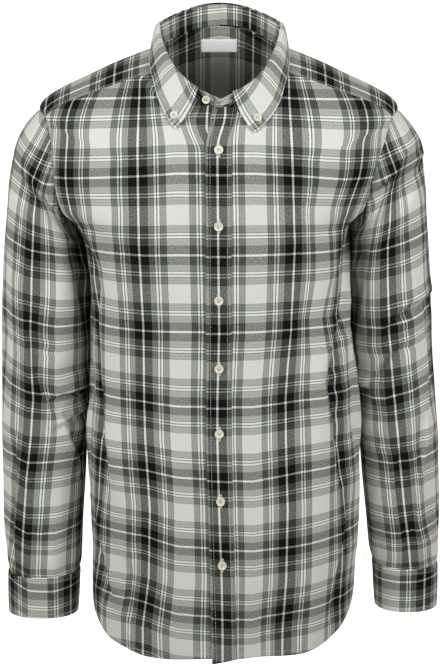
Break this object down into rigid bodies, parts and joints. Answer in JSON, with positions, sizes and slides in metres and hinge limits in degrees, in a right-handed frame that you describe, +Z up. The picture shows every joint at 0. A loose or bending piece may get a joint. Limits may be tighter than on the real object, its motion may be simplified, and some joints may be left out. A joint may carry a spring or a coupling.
{
  "type": "flannel shirt",
  "caption": "Men's long-sleeved flannel shirt in a sage, black and off-white check, button-down collar, filled out with no wearer",
  "frame": {"origin": "middle of the neck at the height of the shoulder line, where the wearer's neck and shoulders hold the shirt", "axes": "+Z up, -Y the front, +X the wearer's left"},
  "size_m": [0.531, 0.2369, 0.7861],
  "materials": {
    "flannel": "brushed twill check",
    "trim_flannel": "brushed twill check, two layers",
    "button": "pearly polyester",
    "label": "blank woven satin"
  },
  "bodies": {
    "root": {"front_right": "flannel", "front_left": "flannel", "back": "flannel", "yoke": "flannel", "sleeve_right": "flannel", "sleeve_left": "flannel", "placket": "trim_flannel", "collar_stand": "trim_flannel", "collar_leaf": "trim_flannel", "cuff_right": "trim_flannel", "cuff_left": "trim_flannel", "sleeve_placket_right": "trim_flannel", "sleeve_placket_left": "trim_flannel", "button_front_1": "button", "button_front_2": "button", "button_front_3": "button", "button_front_4": "button", "button_front_5": "button", "button_front_6": "button", "button_front_7": "button", "button_stand": "button", "button_collar_right": "button", "button_collar_left": "button", "button_cuff_right": "button", "button_cuff_left": "button", "neck_label": "label"}
  },
  "joints": []
}
